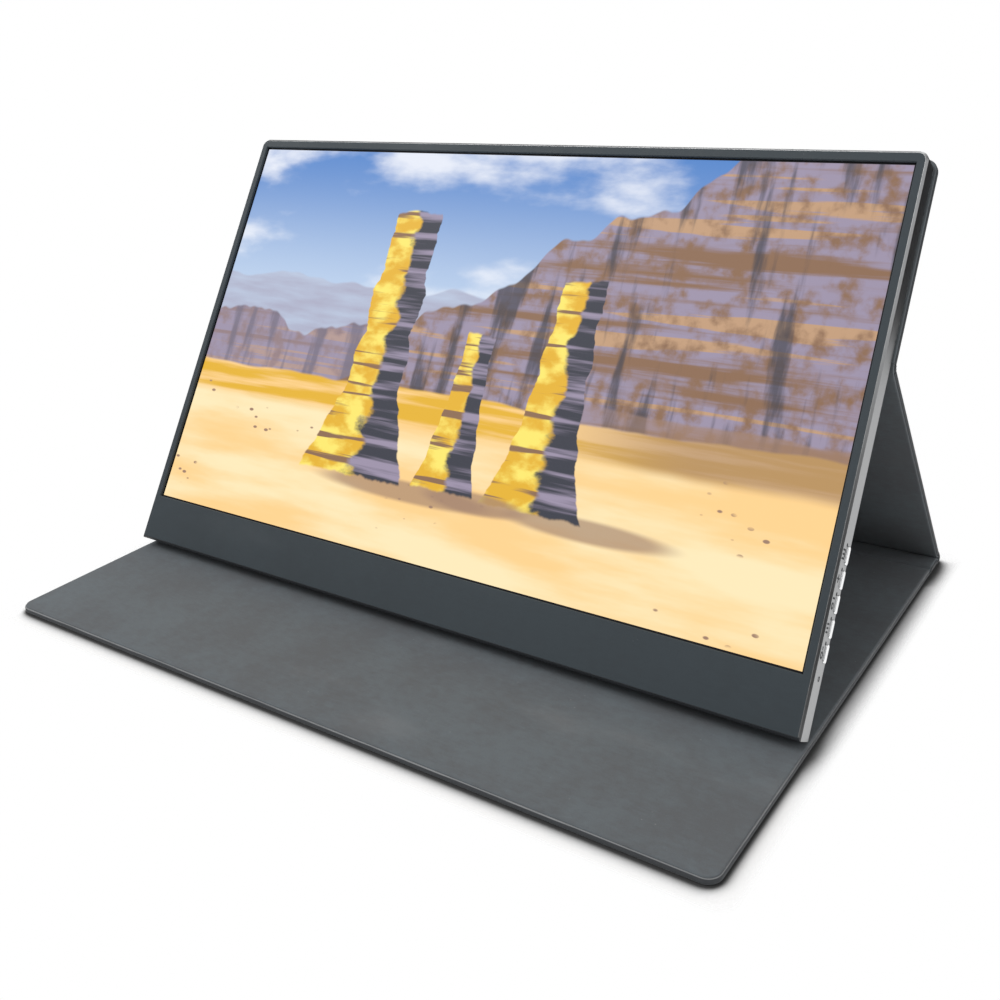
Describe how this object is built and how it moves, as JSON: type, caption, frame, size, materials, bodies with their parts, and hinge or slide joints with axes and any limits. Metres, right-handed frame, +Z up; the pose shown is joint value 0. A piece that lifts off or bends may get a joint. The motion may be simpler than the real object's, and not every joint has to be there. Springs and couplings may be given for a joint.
{
  "type": "portable monitor",
  "caption": "Slim portable monitor standing in its folding magnetic cover, with a flap, spine, strut and held panel, side keys and side sockets.",
  "frame": {"origin": "middle of the base's underside (flap and spine together), on the table", "axes": "+X to the viewer's right along the monitor's width, +Y away from the viewer, +Z up"},
  "size_m": [0.356, 0.2495, 0.1965],
  "materials": {
    "cover_skin": "smooth synthetic leather, low sheen",
    "cover_board": "pressed fibreboard",
    "cover_lining": "fine brushed microfibre",
    "magnet": "nickel plated magnet",
    "housing_metal": "fine satin anodised",
    "bezel_plastic": "fine matte, dark blue-grey",
    "adhesive": "black foam adhesive",
    "screen_front": "satin anti-glare film",
    "screen_glass": "dark polished glass",
    "optical_film": "translucent white film",
    "clear_plastic": "clear polished plastic",
    "white_plastic": "white moulded plastic",
    "tray_metal": "thin mill-finish sheet",
    "circuit_board": "green solder mask",
    "flex_film": "amber polyimide film",
    "black_plastic": "black moulded plastic",
    "socket_metal": "tinned stamped steel",
    "foam": "soft black foam",
    "wire_jacket": "thin vinyl sleeve",
    "screw_steel": "zinc plated, flat head",
    "key_metal": "polished bright"
  },
  "bodies": {
    "flap": {"flap_leather": "cover_skin", "flap_board": "cover_board", "flap_lining": "cover_lining", "flap_magnets": "magnet", "flap_fold_strip": "cover_skin"},
    "spine": {"spine_leather": "cover_skin", "spine_board": "cover_board", "spine_lining": "cover_lining", "rear_fold_strip": "cover_skin"},
    "strut": {"strut_leather": "cover_skin", "strut_board": "cover_board", "strut_lining": "cover_lining", "mid_fold_strip": "cover_skin"},
    "monitor": {"upper_leather": "cover_skin", "upper_board": "cover_board", "upper_lining": "cover_lining", "holder_magnets": "magnet", "rear_shell": "housing_metal", "front_bezel": "bezel_plastic", "bezel_tape": "adhesive", "front_polarizer": "screen_front", "lcd_cell": "screen_glass", "diffuser": "optical_film", "prism_sheet": "optical_film", "light_guide": "clear_plastic", "reflector": "optical_film", "led_bar": "white_plastic", "panel_tray": "tray_metal", "panel_board": "circuit_board", "panel_flexes": "flex_film", "main_board": "circuit_board", "scaler_chip": "black_plastic", "board_chips": "black_plastic", "shield_can": "socket_metal", "usb_port_1": "socket_metal", "usb_port_2": "socket_metal", "hdmi_port": "socket_metal", "port_tongues": "black_plastic", "audio_jack": "black_plastic", "key_board": "circuit_board", "key_switches": "black_plastic", "status_light": "clear_plastic", "speaker_left": "black_plastic", "speaker_right": "black_plastic", "speaker_gaskets": "foam", "speaker_wires": "wire_jacket", "panel_cable": "flex_film", "key_ribbon": "flex_film", "housing_magnets": "magnet", "panel_screws": "screw_steel", "board_screws": "screw_steel"},
    "power_key": {"power_key": "key_metal"},
    "menu_key": {"menu_key": "key_metal"},
    "minus_key": {"minus_key": "key_metal"},
    "plus_key": {"plus_key": "key_metal"},
    "source_key": {"source_key": "key_metal"}
  },
  "joints": [
    {"name": "flap_fold", "type": "hinge", "parent": "flap", "child": "spine", "pos_m": [0, 0.10825, 0.0015], "axis": [-1, 0, 0], "range_deg": [0, 90], "deforming": ["flap_fold_strip"]},
    {"name": "rear_fold", "type": "hinge", "parent": "spine", "child": "strut", "pos_m": [0, 0.12325, 0.0015], "axis": [-1, 0, 0], "range_deg": [0, 127.59], "deforming": ["rear_fold_strip"]},
    {"name": "mid_fold", "type": "hinge", "parent": "strut", "child": "monitor", "pos_m": [0, 0.03174, 0.12035], "axis": [1, 0, 0], "range_deg": [0, 69.79], "deforming": ["mid_fold_strip"]},
    {"name": "power_key_press", "type": "slide", "parent": "monitor", "child": "power_key", "axis": [-1, 0, 0], "range_m": [0, 0.0003], "stiffness_N_per_m": 5000},
    {"name": "menu_key_press", "type": "slide", "parent": "monitor", "child": "menu_key", "axis": [-1, 0, 0], "range_m": [0, 0.0003], "stiffness_N_per_m": 5000},
    {"name": "minus_key_press", "type": "slide", "parent": "monitor", "child": "minus_key", "axis": [-1, 0, 0], "range_m": [0, 0.0003], "stiffness_N_per_m": 5000},
    {"name": "plus_key_press", "type": "slide", "parent": "monitor", "child": "plus_key", "axis": [-1, 0, 0], "range_m": [0, 0.0003], "stiffness_N_per_m": 5000},
    {"name": "source_key_press", "type": "slide", "parent": "monitor", "child": "source_key", "axis": [-1, 0, 0], "range_m": [0, 0.0003], "stiffness_N_per_m": 5000}
  ],
  "couplings": [
    {"joint": "mid_fold", "follows": "rear_fold", "ratio": 0.547}
  ]
}
